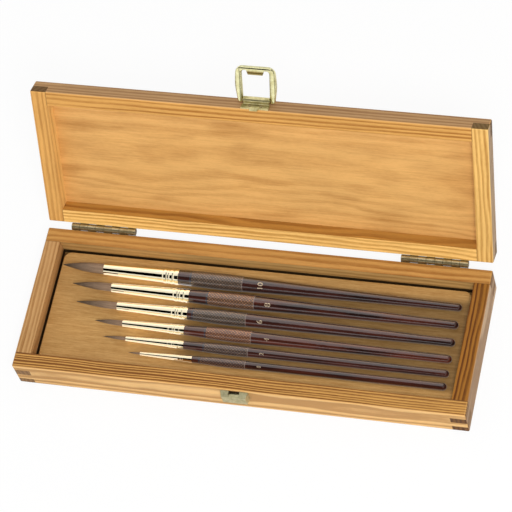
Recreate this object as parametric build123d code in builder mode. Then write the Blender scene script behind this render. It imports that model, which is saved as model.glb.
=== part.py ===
from build123d import *
from math import atan2, cos, pi, sin, sqrt
import os

# A hinged wooden box that holds six round watercolour brushes on a board.
# All sizes are in millimetres. The origin is the centre of the base's underside,
# +X runs along the box to the right, +Y to the hinged back and +Z up.
# The model stands as the box is shown, with its lid open against the hinges' stop.

# Box outline and timber
box_length = 270.0
box_depth = 93.0
base_height = 21.0
lid_height = 11.0
side_thickness = 9.5
rail_thickness = 9.2
base_fingers = 4
lid_fingers = 2
edge_radius = 0.9

# Panels let into the rails
floor_thickness = 3.0
lid_panel_thickness = 2.3
rebate_width = 4.5
panel_clearance = 0.1

# Lid position
lid_opening = 115.0
closing_gap = 0.3

# Hinges, each a pair of leaves that share one pin
hinge_length = 39.7
hinge_centre_x = 100.6
knuckle_count = 8
knuckle_radius = 2.05
knuckle_gap = 0.15
hinge_setback = 0.1
leaf_thickness = 0.9
leaf_width = 8.6
notch_clearance = 0.2
pin_radius = 0.85
pin_clearance = 0.05

# Screws in the hinge leaves
screw_pitch = 13.0
screw_drop = 5.4
screw_head_radius = 1.5
screw_shank_radius = 0.75
screw_head_height = 0.7
screw_length = 6.0
screw_clearance = 0.05
screw_slot_width = 0.4
screw_slot_depth = 0.3

# Latch plate on the lid's front face, rolled into a barrel
latch_sheet = 0.7
latch_plate_width = 16.2
latch_plate_drop = 0.3
barrel_length = 15.2
barrel_rise = 6.5
barrel_proud = 2.2
barrel_radius = 2.0
tongue_width = 5.7
tongue_tip_width = 4.6
tongue_length = 1.9
tongue_offset = 0.3

# Bail that swings on the barrel and snaps over the catch
bail_rest_angle = 8.0
bail_length = 21.2
bail_thickness = 2.2
bail_half_width = 12.4
bail_opening_half_width = 8.2
bail_bar = 2.4
bail_foot_inset = 0.8
bail_shoulder_drop = 9.0
bail_shoulder_radius = 30.0
bail_corner_radius = 4.5
bail_opening_radius = 1.6
bail_ear_radius = 1.5
bail_ear_round = 1.2
bail_edge_round = 0.75
pivot_radius = 1.1
pivot_clearance = 0.08
pivot_reach = 3.6
bail_side_gap = 0.25
lip_root_width = 10.4
lip_tip_width = 8.7
lip_thickness = 1.0

# Catch on the base's front face
catch_front_width = 14.4
catch_back_width = 16.6
catch_proud = 3.8
catch_top_drop = 1.2
catch_front_top_drop = 2.2
catch_front_height = 7.0
catch_sheet = 0.7
catch_slot_width = 6.4
catch_pin_pitch = 9.0
hook_clearance = 0.2

# Nails in the latch plate and pins behind the catch
nail_pitch = 6.8
nail_rise = 2.7
nail_radius = 0.55
nail_head_radius = 0.95
nail_head_height = 0.25
nail_length = 5.0
nail_clearance = 0.05

# Board that the brushes lie on
board_gap = 1.5
board_drop = 8.8
board_corner_radius = 4.5
board_edge_radius = 0.6
groove_depth = 0.6
groove_clearance = 0.15
groove_seat = 0.02
handle_end_margin = 4.0

# Brushes from the back of the board to the front. Each row gives the size, then the
# place across the box, then the lengths of hair, ferrule and handle, then the diameters
# at the ferrule's mouth, the ferrule's heel, the grip's belly, the slim part and the
# end of the handle, then where the grip starts behind the heel, the grip's length and
# the number of hair strands.
brush_table = [
    (10, 24.0, 26.2, 46.3, 168.9, 6.5, 9.1, 9.6, 5.4, 4.5, 8.2, 30.7, 90),
    (8, 12.5, 24.7, 48.0, 159.9, 5.2, 8.0, 9.2, 5.9, 4.8, 11.6, 27.7, 76),
    (6, 1.2, 25.7, 43.4, 158.6, 4.7, 7.4, 8.6, 6.0, 4.8, 3.7, 31.6, 66),
    (4, -9.5, 17.4, 37.9, 158.4, 3.7, 5.9, 8.0, 5.4, 4.8, 13.4, 27.0, 52),
    (2, -18.6, 14.3, 35.5, 157.1, 2.6, 4.9, 6.3, 4.9, 4.4, 12.8, 26.0, 36),
    (0, -26.8, 7.4, 31.7, 150.4, 1.8, 4.0, 5.3, 4.6, 4.4, 5.0, 27.0, 20),
]
slim_distance = 45.0
neck_step = 0.15
grip_rise = 0.12
grip_crown = 0.4
neck_slope = 0.03
tenon_length = 12.0

# Ferrule, a drawn tube with crimped rings near its heel. The valleys between the rings
# are given by their distance from the heel, and the rings' rise and the valleys' depth
# as shares of the heel's diameter.
ferrule_sheet = 0.3
ferrule_clearance = 0.03
crimp_valleys = [9.7, 7.1, 5.8, 3.2]
crimp_rises = [0.02, 0.008, 0.018, 0.022]
crimp_depth = 0.012

# Hair. The tuft's outline is given by shares of its length and of its radius at the mouth.
hair_root_length = 4.0
hair_setback = 0.4
hair_embed = 0.2
hair_stations = [0.0, 0.3, 0.62, 1.0]
hair_swell = [1.0, 1.02, 0.72, 0.1]
hair_spread = 0.9
strand_share = 0.7
strand_shortfall = 0.3

# Places worked out from the sizes above
half_length = box_length / 2
half_depth = box_depth / 2
inner_half_length = half_length - side_thickness
inner_half_depth = half_depth - rail_thickness
base_finger = base_height / base_fingers
lid_finger = lid_height / lid_fingers
lid_bottom = base_height + closing_gap
lid_top = lid_bottom + lid_height
lid_recess_top = lid_top - lid_panel_thickness
hinge_y = half_depth + hinge_setback + knuckle_radius
hinge_z = base_height + closing_gap / 2
barrel_y = -half_depth - barrel_proud
barrel_z = lid_bottom + barrel_rise
board_top = base_height - board_drop
board_half_length = inner_half_length - board_gap
board_half_depth = inner_half_depth - board_gap
handle_end_x = board_half_length - handle_end_margin
catch_top_z = base_height - catch_top_drop
catch_front_z = base_height - catch_front_top_drop
catch_bottom_z = catch_front_z - catch_front_height
catch_front_y = -half_depth - catch_proud

# The base is drawn in the box's own frame. The lid is drawn closed, in a frame that has
# been carried round the hinge with it, and the bail hanging, in a frame carried round
# the barrel in the same way.
base_frame = Plane.XY


def turned(frame, y, z, angle):
    """The frame after a turn about a line parallel to its X axis through local (y, z)."""
    return Plane(frame.location * Location((0, y, z), (angle, 0, 0)) * Location((0, -y, -z)))


lid_frame = turned(base_frame, hinge_y, hinge_z, -lid_opening)
bail_frame = turned(lid_frame, barrel_y, barrel_z, -(90 + bail_rest_angle))


def cross_section(frame, x):
    """The plane across the box at x, whose local axes are the frame's Y and Z."""
    origin = frame.from_local_coords((x, 0, 0))
    return Plane(origin=origin, x_dir=frame.y_dir, z_dir=frame.x_dir)


def front_view(frame, y):
    """The plane facing the front at y, whose local axes are the frame's X and Z."""
    origin = frame.from_local_coords((0, y, 0))
    return Plane(origin=origin, x_dir=frame.x_dir, z_dir=-frame.y_dir)


def block(frame, bottom, height, centres, size_x, size_y, mode=Mode.ADD):
    """Equal blocks standing on the frame at a given height."""
    with BuildSketch(frame.offset(bottom)) as footprint:
        with Locations(*centres):
            Rectangle(size_x, size_y)
    extrude(footprint.sketch, amount=height, mode=mode)


def across(frame, x_start, x_end, outline, mode=Mode.ADD):
    """A solid with the given Y-Z outline that runs along the frame's X."""
    with BuildSketch(cross_section(frame, x_start)) as profile:
        with BuildLine():
            Polyline(*outline, close=True)
        make_face()
    extrude(profile.sketch, amount=x_end - x_start, mode=mode)


def round_bars(plane, centres, radius, length, mode=Mode.ADD):
    """Equal round bars square to a plane."""
    with BuildSketch(plane) as circles:
        with Locations(*centres):
            Circle(radius)
    extrude(circles.sketch, amount=length, mode=mode)


# The four corners, where side timbers and rails interlock
corner_centres = [
    (sx * (half_length - side_thickness / 2), sy * (half_depth - rail_thickness / 2))
    for sx in (-1, 1)
    for sy in (-1, 1)
]


def cut_fingers(frame, bottom, finger, levels):
    """Clears the corners at the levels that belong to the timber running the other way."""
    for level in levels:
        start = bottom + level * finger
        block(frame, start, finger, corner_centres, side_thickness, rail_thickness, Mode.SUBTRACT)


def ease_outside(frame, bottom, height):
    """Keeps only what lies inside the box's outline with its edges rounded over."""
    with BuildPart(mode=Mode.PRIVATE) as outline:
        with BuildSketch(frame.offset(bottom)) as footprint:
            Rectangle(box_length, box_depth)
        extrude(footprint.sketch, amount=height)
        fillet(outline.edges(), radius=edge_radius)
    add(outline.part, mode=Mode.INTERSECT)


def finish_timber(frame, bottom, height, finger, levels, rebate_bottom, rebate_height):
    """Cuts the joints, the panel's rebate and the eased edges of one timber."""
    cut_fingers(frame, bottom, finger, levels)
    rebate_x = 2 * (inner_half_length + rebate_width)
    rebate_y = 2 * (inner_half_depth + rebate_width)
    block(frame, rebate_bottom, rebate_height, [(0, 0)], rebate_x, rebate_y, Mode.SUBTRACT)
    ease_outside(frame, bottom, height)


# Counted upwards, the base's sides own fingers 0 and 2, its rails 1 and 3. On the lid the
# sides own the finger at the mating face.
base_side_levels = [0, 2]
base_rail_levels = [1, 3]
lid_side_levels = [0]
lid_rail_levels = [1]

hinge_centres = [-hinge_centre_x, hinge_centre_x]
leaf_back_y = half_depth + leaf_thickness
screw_columns = [x + i * screw_pitch for x in hinge_centres for i in (-1, 0, 1)]
pilot_radius = screw_shank_radius + screw_clearance
nail_spots = [(-nail_pitch / 2, lid_bottom + nail_rise), (nail_pitch / 2, lid_bottom + nail_rise)]
catch_pin_z = base_height - catch_front_top_drop - catch_front_height / 2
catch_pin_spots = [(-catch_pin_pitch / 2, catch_pin_z), (catch_pin_pitch / 2, catch_pin_z)]


def screw_holes(frame, away):
    """Pilot holes for the hinge screws, from a rail's back face. away is -1 on the base, 1 on the lid."""
    spots = [(x, hinge_z + away * screw_drop) for x in screw_columns]
    round_bars(front_view(frame, half_depth), spots, pilot_radius,
               screw_length - leaf_thickness + screw_clearance, Mode.SUBTRACT)


# Base timbers
with BuildPart() as base_front_rail:
    block(base_frame, 0, base_height, [(0, -half_depth + rail_thickness / 2)], box_length, rail_thickness)
    finish_timber(base_frame, 0, base_height, base_finger, base_side_levels, 0, floor_thickness)
    round_bars(front_view(base_frame, -half_depth), catch_pin_spots, nail_radius + nail_clearance,
               -(nail_length + nail_clearance), Mode.SUBTRACT)
base_front_rail.part.label = "base_front_rail"

with BuildPart() as base_back_rail:
    block(base_frame, 0, base_height, [(0, half_depth - rail_thickness / 2)], box_length, rail_thickness)
    finish_timber(base_frame, 0, base_height, base_finger, base_side_levels, 0, floor_thickness)
    screw_holes(base_frame, -1)
base_back_rail.part.label = "base_back_rail"

with BuildPart() as base_left_side:
    block(base_frame, 0, base_height, [(-half_length + side_thickness / 2, 0)], side_thickness, box_depth)
    finish_timber(base_frame, 0, base_height, base_finger, base_rail_levels, 0, floor_thickness)
base_left_side.part.label = "base_left_side"

with BuildPart() as base_right_side:
    block(base_frame, 0, base_height, [(half_length - side_thickness / 2, 0)], side_thickness, box_depth)
    finish_timber(base_frame, 0, base_height, base_finger, base_rail_levels, 0, floor_thickness)
base_right_side.part.label = "base_right_side"

panel_x = 2 * (inner_half_length + rebate_width - panel_clearance)
panel_y = 2 * (inner_half_depth + rebate_width - panel_clearance)
with BuildPart() as base_floor_panel:
    block(base_frame, 0, floor_thickness, [(0, 0)], panel_x, panel_y)
base_floor_panel.part.label = "base_floor_panel"

# Lid timbers
with BuildPart() as lid_front_rail:
    block(lid_frame, lid_bottom, lid_height, [(0, -half_depth + rail_thickness / 2)], box_length, rail_thickness)
    finish_timber(lid_frame, lid_bottom, lid_height, lid_finger, lid_side_levels,
                  lid_recess_top, lid_panel_thickness)
    round_bars(front_view(lid_frame, -half_depth), nail_spots, nail_radius + nail_clearance,
               -(nail_length + nail_clearance), Mode.SUBTRACT)
lid_front_rail.part.label = "lid_front_rail"

with BuildPart() as lid_back_rail:
    block(lid_frame, lid_bottom, lid_height, [(0, half_depth - rail_thickness / 2)], box_length, rail_thickness)
    finish_timber(lid_frame, lid_bottom, lid_height, lid_finger, lid_side_levels,
                  lid_recess_top, lid_panel_thickness)
    screw_holes(lid_frame, 1)
lid_back_rail.part.label = "lid_back_rail"

with BuildPart() as lid_left_side:
    block(lid_frame, lid_bottom, lid_height, [(-half_length + side_thickness / 2, 0)], side_thickness, box_depth)
    finish_timber(lid_frame, lid_bottom, lid_height, lid_finger, lid_rail_levels,
                  lid_recess_top, lid_panel_thickness)
lid_left_side.part.label = "lid_left_side"

with BuildPart() as lid_right_side:
    block(lid_frame, lid_bottom, lid_height, [(half_length - side_thickness / 2, 0)], side_thickness, box_depth)
    finish_timber(lid_frame, lid_bottom, lid_height, lid_finger, lid_rail_levels,
                  lid_recess_top, lid_panel_thickness)
lid_right_side.part.label = "lid_right_side"

with BuildPart() as lid_panel:
    block(lid_frame, lid_recess_top, lid_panel_thickness, [(0, 0)], panel_x, panel_y)
lid_panel.part.label = "lid_panel"

# Hinges. The base leaf holds knuckles 0, 2, 4 and 6 from the left, the lid leaf the rest.
knuckle_pitch = hinge_length / knuckle_count
knuckle_length = knuckle_pitch - knuckle_gap
knuckle_room = knuckle_radius + notch_clearance


def hinge_leaf(frame, away, centre_x, first):
    """One leaf: a plate screwed to a rail's back face, with every other knuckle on its edge."""
    plate_y = half_depth + leaf_thickness / 2
    low = hinge_z if away > 0 else hinge_z - leaf_width
    block(frame, low, leaf_width, [(centre_x, plate_y)], hinge_length, leaf_thickness)
    own = [centre_x + (i + 0.5 - knuckle_count / 2) * knuckle_pitch for i in range(first, knuckle_count, 2)]
    other = [centre_x + (i + 0.5 - knuckle_count / 2) * knuckle_pitch for i in range(1 - first, knuckle_count, 2)]
    block(frame, hinge_z - knuckle_room, 2 * knuckle_room, [(x, plate_y) for x in other],
          knuckle_pitch + knuckle_gap, 2 * leaf_thickness, Mode.SUBTRACT)
    for x in own:
        round_bars(cross_section(frame, x - knuckle_length / 2), [(hinge_y, hinge_z)],
                   knuckle_radius, knuckle_length)
    round_bars(cross_section(frame, centre_x - hinge_length), [(hinge_y, hinge_z)],
               pin_radius + pin_clearance, 2 * hinge_length, Mode.SUBTRACT)
    spots = [(centre_x + i * screw_pitch, hinge_z + away * screw_drop) for i in (-1, 0, 1)]
    round_bars(front_view(frame, leaf_back_y), spots, pilot_radius, leaf_thickness, Mode.SUBTRACT)
    for x, z in spots:
        seat = Plane(origin=frame.from_local_coords((x, leaf_back_y, z)), x_dir=frame.x_dir, z_dir=-frame.y_dir)
        with BuildSketch(seat) as mouth:
            Circle(screw_head_radius + screw_clearance)
        with BuildSketch(seat.offset(screw_head_height)) as throat:
            Circle(pilot_radius)
        loft([mouth.sketch, throat.sketch], mode=Mode.SUBTRACT)


def hinge_screws(frame, away):
    """Countersunk screws through the leaves of both hinges."""
    for x in screw_columns:
        centre = frame.from_local_coords((x, leaf_back_y, hinge_z + away * screw_drop))
        seat = Plane(origin=centre, x_dir=frame.x_dir, z_dir=-frame.y_dir)
        with BuildSketch(seat) as head:
            Circle(screw_head_radius)
        with BuildSketch(seat.offset(screw_head_height)) as neck:
            Circle(screw_shank_radius)
        loft([head.sketch, neck.sketch])
        round_bars(seat.offset(screw_head_height), [(0, 0)], screw_shank_radius,
                   screw_length - screw_head_height)
        with BuildSketch(seat) as slot:
            Rectangle(3 * screw_head_radius, screw_slot_width, rotation=35)
        extrude(slot.sketch, amount=screw_slot_depth, mode=Mode.SUBTRACT)


hinge_nodes = {}
for side_name, centre_x in (("left", -hinge_centre_x), ("right", hinge_centre_x)):
    with BuildPart() as base_leaf:
        hinge_leaf(base_frame, -1, centre_x, 0)
    base_leaf.part.label = f"hinge_{side_name}_base_leaf"
    with BuildPart() as lid_leaf:
        hinge_leaf(lid_frame, 1, centre_x, 1)
    lid_leaf.part.label = f"hinge_{side_name}_lid_leaf"
    with BuildPart() as hinge_pin:
        round_bars(cross_section(base_frame, centre_x - hinge_length / 2), [(hinge_y, hinge_z)],
                   pin_radius, hinge_length)
    hinge_pin.part.label = f"hinge_{side_name}_pin"
    for piece in (base_leaf, lid_leaf, hinge_pin):
        hinge_nodes[piece.part.label] = piece.part

with BuildPart() as base_hinge_screws:
    hinge_screws(base_frame, -1)
base_hinge_screws.part.label = "base_hinge_screws"

with BuildPart() as lid_hinge_screws:
    hinge_screws(lid_frame, 1)
lid_hinge_screws.part.label = "lid_hinge_screws"

# Latch plate: sheet on the lid's front face, rolled round the bail's pivots, with a
# tongue that drops into the catch's slot.
plate_outer_y = -half_depth - latch_sheet
plate_low_z = lid_bottom + latch_plate_drop
with BuildPart() as latch_plate:
    across(lid_frame, -latch_plate_width / 2, latch_plate_width / 2, [
        (-half_depth, plate_low_z),
        (-half_depth, barrel_z - barrel_radius),
        (plate_outer_y, barrel_z - barrel_radius),
        (plate_outer_y, plate_low_z),
    ])
    across(lid_frame, -barrel_length / 2, barrel_length / 2, [
        (-half_depth, barrel_z - barrel_radius),
        (-half_depth, barrel_z),
        (barrel_y, barrel_z),
        (plate_outer_y, barrel_z - barrel_radius),
    ])
    round_bars(cross_section(lid_frame, -barrel_length / 2), [(barrel_y, barrel_z)], barrel_radius, barrel_length)
    round_bars(cross_section(lid_frame, -barrel_length), [(barrel_y, barrel_z)],
               pivot_radius + pivot_clearance, 2 * barrel_length, Mode.SUBTRACT)
    with BuildSketch(front_view(lid_frame, -half_depth - tongue_offset)) as tongue:
        with BuildLine():
            Polyline(
                (-tongue_width / 2, plate_low_z + 1.0),
                (-tongue_tip_width / 2, lid_bottom - tongue_length),
                (tongue_tip_width / 2, lid_bottom - tongue_length),
                (tongue_width / 2, plate_low_z + 1.0),
                close=True,
            )
        make_face()
    extrude(tongue.sketch, amount=latch_sheet)
    round_bars(front_view(lid_frame, -half_depth), nail_spots, nail_radius + nail_clearance,
               2 * latch_sheet, Mode.SUBTRACT)
latch_plate.part.label = "latch_plate"

with BuildPart() as latch_nails:
    round_bars(front_view(lid_frame, plate_outer_y), nail_spots, nail_radius, -nail_length)
    round_bars(front_view(lid_frame, plate_outer_y), nail_spots, nail_head_radius, nail_head_height)
latch_nails.part.label = "latch_nails"

# Catch: a folded hood, open below, with a slot in its top and two pins behind it


def hood(shrink):
    """The hood's outline, or with a shrink the hollow behind it."""
    with BuildSketch(front_view(base_frame, -half_depth)) as back:
        with Locations((0, (catch_top_z + catch_bottom_z - shrink) / 2)):
            Rectangle(catch_back_width - 2 * shrink, catch_top_z - catch_bottom_z - shrink)
    with BuildSketch(front_view(base_frame, catch_front_y + shrink)) as front:
        with Locations((0, (catch_front_z + catch_bottom_z - shrink) / 2)):
            Rectangle(catch_front_width - 2 * shrink, catch_front_z - catch_bottom_z - shrink)
    return [back.sketch, front.sketch]


with BuildPart() as latch_catch:
    loft(hood(0))
    loft(hood(catch_sheet), mode=Mode.SUBTRACT)
    block(base_frame, catch_front_z - 0.2, 3 * catch_sheet + catch_proud,
          [(0, -half_depth - catch_proud / 2)], catch_slot_width, catch_proud, Mode.SUBTRACT)
    round_bars(front_view(base_frame, -half_depth - catch_sheet), catch_pin_spots, nail_radius,
               -(catch_sheet + nail_length))
    with BuildSketch(front_view(base_frame, -half_depth)) as bridge:
        with Locations((0, catch_pin_z)):
            Rectangle(catch_back_width - catch_sheet, 3.0)
    extrude(bridge.sketch, amount=catch_sheet)
latch_catch.part.label = "latch_catch"

# Bail: a rounded square loop of domed bar. Drawn hanging, from the barrel at the top to
# the cross bar at the bottom, with a lip that reaches up under the catch.
bail_low_z = barrel_z - bail_length
bar_top_z = bail_low_z + bail_bar
ear_x = barrel_length / 2 + bail_side_gap
hook_radius = sqrt((barrel_z - catch_bottom_z) ** 2 + (catch_proud - barrel_proud) ** 2)
lip_tip_z = barrel_z - hook_radius - hook_clearance
shoulder_z = barrel_z - bail_shoulder_drop
ear_top_z = barrel_z + bail_ear_radius
ear_out_x = ear_x + 2 * bail_ear_radius
foot_x = bail_half_width - bail_foot_inset
bail_outline = [
    ((ear_out_x, ear_top_z), bail_ear_round),
    ((bail_half_width, shoulder_z), bail_shoulder_radius),
    ((foot_x, bail_low_z), bail_corner_radius),
    ((-foot_x, bail_low_z), bail_corner_radius),
    ((-bail_half_width, shoulder_z), bail_shoulder_radius),
    ((-ear_out_x, ear_top_z), bail_ear_round),
    ((-ear_x, ear_top_z), bail_ear_round),
    ((-bail_opening_half_width, bar_top_z), bail_opening_radius),
    ((bail_opening_half_width, bar_top_z), bail_opening_radius),
    ((ear_x, ear_top_z), bail_ear_round),
]
bail_plane = front_view(bail_frame, barrel_y + bail_thickness / 2)
with BuildPart() as latch_bail:
    with BuildSketch(bail_plane):
        with BuildLine():
            FilletPolyline(*[p for p, r in bail_outline], radius=[r for p, r in bail_outline], close=True)
        make_face()
    extrude(amount=bail_thickness)
    broad_faces = latch_bail.faces().sort_by(Axis(bail_frame.origin, bail_frame.y_dir))
    fillet(broad_faces[0].edges() + broad_faces[-1].edges(), radius=bail_edge_round)
    for end in (-1, 1):
        stub = cross_section(bail_frame, end * (ear_x + bail_ear_radius))
        round_bars(stub, [(barrel_y, barrel_z)], pivot_radius, -end * (bail_ear_radius + bail_side_gap + pivot_reach))
    with BuildSketch(front_view(bail_frame, barrel_y + bail_thickness / 2)) as lip:
        with BuildLine():
            Polyline(
                (-lip_root_width / 2, bar_top_z - bail_bar / 2),
                (-lip_root_width / 2, bar_top_z),
                (-lip_tip_width / 2, lip_tip_z),
                (lip_tip_width / 2, lip_tip_z),
                (lip_root_width / 2, bar_top_z),
                (lip_root_width / 2, bar_top_z - bail_bar / 2),
                close=True,
            )
        make_face()
    extrude(lip.sketch, amount=lip_thickness)
latch_bail.part.label = "latch_bail"

# Brushes. Each lies along its own frame, whose origin is the handle's end and whose X
# axis runs up the brush to the hair, tilted so that the handle rests at both ends.
def brush_frame(row):
    """The frame of one brush, lying in its groove."""
    size, place, hair, ferrule, handle, mouth, heel, belly, slim, end, grip_start, grip_length, strands = row
    belly_at = handle - grip_start - grip_length * (1 - grip_crown)
    tilt = atan2((belly - end) / 2, belly_at)
    height = board_top + end / 2 - groove_depth + groove_seat
    return Plane(origin=(handle_end_x, place, height), x_dir=(-cos(tilt), 0, sin(tilt)), z_dir=(0, 1, 0))


def handle_outline(row, spare, rise):
    """Half outline of a handle up to its ferrule, grown by a spare and again at the grip."""
    size, place, hair, ferrule, handle, mouth, heel, belly, slim, end, grip_start, grip_length, strands = row
    grip_back = handle - grip_start - grip_length
    neck_radius = heel / 2 - neck_step + spare
    end_radius = end / 2 + spare
    belly_radius = belly / 2 - grip_rise + spare + rise
    with BuildLine() as outline:
        start = (-spare, 0)
        shoulder = (end_radius - spare, end_radius)
        middle = (end_radius * (1 - cos(pi / 4)) - spare, end_radius * sin(pi / 4))
        ThreePointArc(start, middle, shoulder)
        crown = (grip_back + grip_length * grip_crown, belly_radius)
        back = Spline(
            shoulder,
            (slim_distance, slim / 2 + spare),
            (grip_back, belly_radius - 0.02 * belly),
            crown,
            tangents=[(1, 0), (1, 0)],
        )
        neck = Spline(back @ 1, (handle, neck_radius), tangents=[(1, 0), (1, -neck_slope)])
        Line(neck @ 1, (handle, 0))
        Line((handle, 0), start)
    return outline.line.edges()


def cone_radius(row, distance):
    """The ferrule's plain outer radius at a distance in front of its heel."""
    size, place, hair, ferrule, handle, mouth, heel, belly, slim, end, grip_start, grip_length, strands = row
    return heel / 2 - (heel - mouth) / 2 * distance / ferrule


def spun(frame, mode=Mode.ADD):
    """Turns the pending outline about the brush's axis."""
    revolve(axis=Axis(frame.origin, frame.x_dir), mode=mode)


def hair_strands(row, frame, root_x, tip_x, root_radius):
    """Tapered three-sided strands in a sunflower pattern that keeps its shape to the tip."""
    count = row[-1]
    bundle = []
    for i in range(count):
        share = sqrt((i + 0.5) / count)
        angle = i * pi * (3 - sqrt(5))
        reach = 1 - strand_shortfall * share ** 2
        loops = []
        for station, swell in strand_stations(reach):
            radius = root_radius * swell
            along = root_x + (tip_x - root_x) * station
            centre_y = radius * hair_spread * share * cos(angle)
            centre_z = radius * hair_spread * share * sin(angle)
            thick = strand_share * radius / sqrt(count)
            corners = [
                frame.from_local_coords((along, centre_y + thick * cos(turn), centre_z + thick * sin(turn)))
                for turn in (0, 2 * pi / 3, 4 * pi / 3)
            ]
            loops.append(Wire.make_polygon(corners, close=True))
        bundle.append(Solid.make_loft(loops, ruled=True))
    return bundle


def strand_stations(reach):
    """The tuft's stations up to where a strand ends, with the swell at each."""
    pairs = list(zip(hair_stations, hair_swell))
    kept = [pair for pair in pairs if pair[0] < reach]
    last, following = kept[-1], pairs[len(kept)] if len(kept) < len(pairs) else pairs[-1]
    if following[0] > last[0]:
        blend = (reach - last[0]) / (following[0] - last[0])
        kept.append((reach, last[1] + (following[1] - last[1]) * blend))
    return kept


brush_nodes = {}
for row in brush_table:
    size, place, hair, ferrule, handle, mouth, heel, belly, slim, end, grip_start, grip_length, strands = row
    frame = brush_frame(row)
    bore_drop = ferrule_sheet + ferrule_clearance
    with BuildPart() as brush_handle:
        with BuildSketch(frame):
            make_face(handle_outline(row, 0, 0))
        spun(frame)
        with BuildSketch(frame):
            make_face(handle_outline(row, 0, grip_rise))
            with Locations((handle - grip_start - grip_length / 2, 0)):
                Rectangle(grip_length, 4 * belly, mode=Mode.INTERSECT)
        spun(frame)
        with BuildSketch(frame):
            with BuildLine():
                Polyline(
                    (handle - 0.5, 0),
                    (handle - 0.5, cone_radius(row, 0) - bore_drop),
                    (handle, cone_radius(row, 0) - bore_drop),
                    (handle + tenon_length, cone_radius(row, tenon_length) - bore_drop),
                    (handle + tenon_length, 0),
                    close=True,
                )
            make_face()
        spun(frame)
    brush_handle.part.label = f"brush_{size}_handle"

    with BuildPart() as brush_ferrule:
        with BuildSketch(frame):
            with BuildLine():
                valleys = [(handle + d, cone_radius(row, d) - crimp_depth * heel) for d in crimp_valleys]
                valleys.append((handle, heel / 2))
                Line((handle + ferrule, mouth / 2), valleys[0])
                for near, far, rise in zip(valleys, valleys[1:], crimp_rises):
                    crest_x = (near[0] + far[0]) / 2
                    crest = (crest_x, cone_radius(row, crest_x - handle) + rise * heel)
                    ThreePointArc(near, crest, far)
                Polyline(
                    (handle, heel / 2),
                    (handle, heel / 2 - ferrule_sheet),
                    (handle + ferrule, mouth / 2 - ferrule_sheet),
                    (handle + ferrule, mouth / 2),
                )
            make_face()
        spun(frame)
    brush_ferrule.part.label = f"brush_{size}_ferrule"

    root_end = handle + ferrule - hair_setback
    root_start = root_end - hair_root_length
    root_radius = cone_radius(row, ferrule) - bore_drop
    bundle = hair_strands(row, frame, root_end - hair_embed, handle + ferrule + hair, root_radius)
    with BuildPart() as brush_hair:
        with BuildSketch(frame):
            with BuildLine():
                Polyline(
                    (root_start, 0),
                    (root_start, cone_radius(row, root_start - handle) - bore_drop),
                    (root_end, cone_radius(row, root_end - handle) - bore_drop),
                    (root_end, 0),
                    close=True,
                )
            make_face()
        spun(frame)
        add(bundle, clean=False)
    brush_hair.part.label = f"brush_{size}_hair"
    for piece in (brush_handle, brush_ferrule, brush_hair):
        brush_nodes[piece.part.label] = piece.part

# Board, with a shallow round-ended groove under every handle
with BuildPart() as insert_board:
    with BuildSketch(base_frame.offset(floor_thickness)):
        RectangleRounded(2 * board_half_length, 2 * board_half_depth, board_corner_radius)
    extrude(amount=board_top - floor_thickness)
    fillet(insert_board.faces().sort_by(Axis.Z)[-1].edges(), radius=board_edge_radius)
    for row in brush_table:
        frame = brush_frame(row)
        lifted = Plane(origin=frame.origin + Vector(0, 0, groove_clearance - groove_seat),
                       x_dir=frame.x_dir, z_dir=frame.z_dir)
        with BuildSketch(lifted):
            make_face(handle_outline(row, groove_clearance, grip_rise))
        spun(lifted, Mode.SUBTRACT)
insert_board.part.label = "insert_board"

nodes = [
    base_front_rail, base_back_rail, base_left_side, base_right_side, base_floor_panel,
    lid_front_rail, lid_back_rail, lid_left_side, lid_right_side, lid_panel,
    base_hinge_screws, lid_hinge_screws, latch_plate, latch_nails, latch_catch, latch_bail,
    insert_board,
]
os.makedirs("parts", exist_ok=True)
for node in nodes:
    export_step(node.part, f"parts/{node.part.label}.step")
for label, solid in {**hinge_nodes, **brush_nodes}.items():
    export_step(solid, f"parts/{label}.step")
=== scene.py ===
# %% [markdown]
# # A wooden box of watercolour brushes
#
# The object is a shallow pine box with a hinged lid, shown open. Six round brushes lie in
# shallow grooves on a lift-out board. Its shapes, sizes and joints come from the CAD model,
# which loads as a fixed frame in metres. This lesson gives each surface the finish that it
# has on the real thing, and adds what a solid model leaves out: the hair, and the numerals
# printed on the handles.

# %% Load the frame
import math
import random
from collections import namedtuple
import bpy
from mathutils import Matrix, Vector
from mathutils.bvhtree import BVHTree


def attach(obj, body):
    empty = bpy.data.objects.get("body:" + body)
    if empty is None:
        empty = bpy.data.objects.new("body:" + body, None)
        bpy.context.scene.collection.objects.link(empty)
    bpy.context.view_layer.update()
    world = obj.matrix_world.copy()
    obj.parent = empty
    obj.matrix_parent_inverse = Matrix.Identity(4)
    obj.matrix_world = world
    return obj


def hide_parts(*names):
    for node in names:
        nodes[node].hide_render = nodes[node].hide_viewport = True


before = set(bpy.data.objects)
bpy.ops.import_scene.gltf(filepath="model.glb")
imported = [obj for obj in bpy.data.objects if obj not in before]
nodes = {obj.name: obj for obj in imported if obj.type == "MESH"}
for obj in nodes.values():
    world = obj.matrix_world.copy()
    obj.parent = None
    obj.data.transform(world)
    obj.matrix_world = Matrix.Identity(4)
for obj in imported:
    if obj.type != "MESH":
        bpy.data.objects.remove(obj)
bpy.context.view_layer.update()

# %% [markdown]
# ## The box in numbers
#
# The finishes need to know where each timber lies, because grain, end grain and the dark
# lines of the joints all follow it. The lid is open, so its own coordinates are the closed
# box's, turned about the hinge. All lengths in the shaders are in millimetres, because
# grain and printing are easier to think about at that scale.

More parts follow.
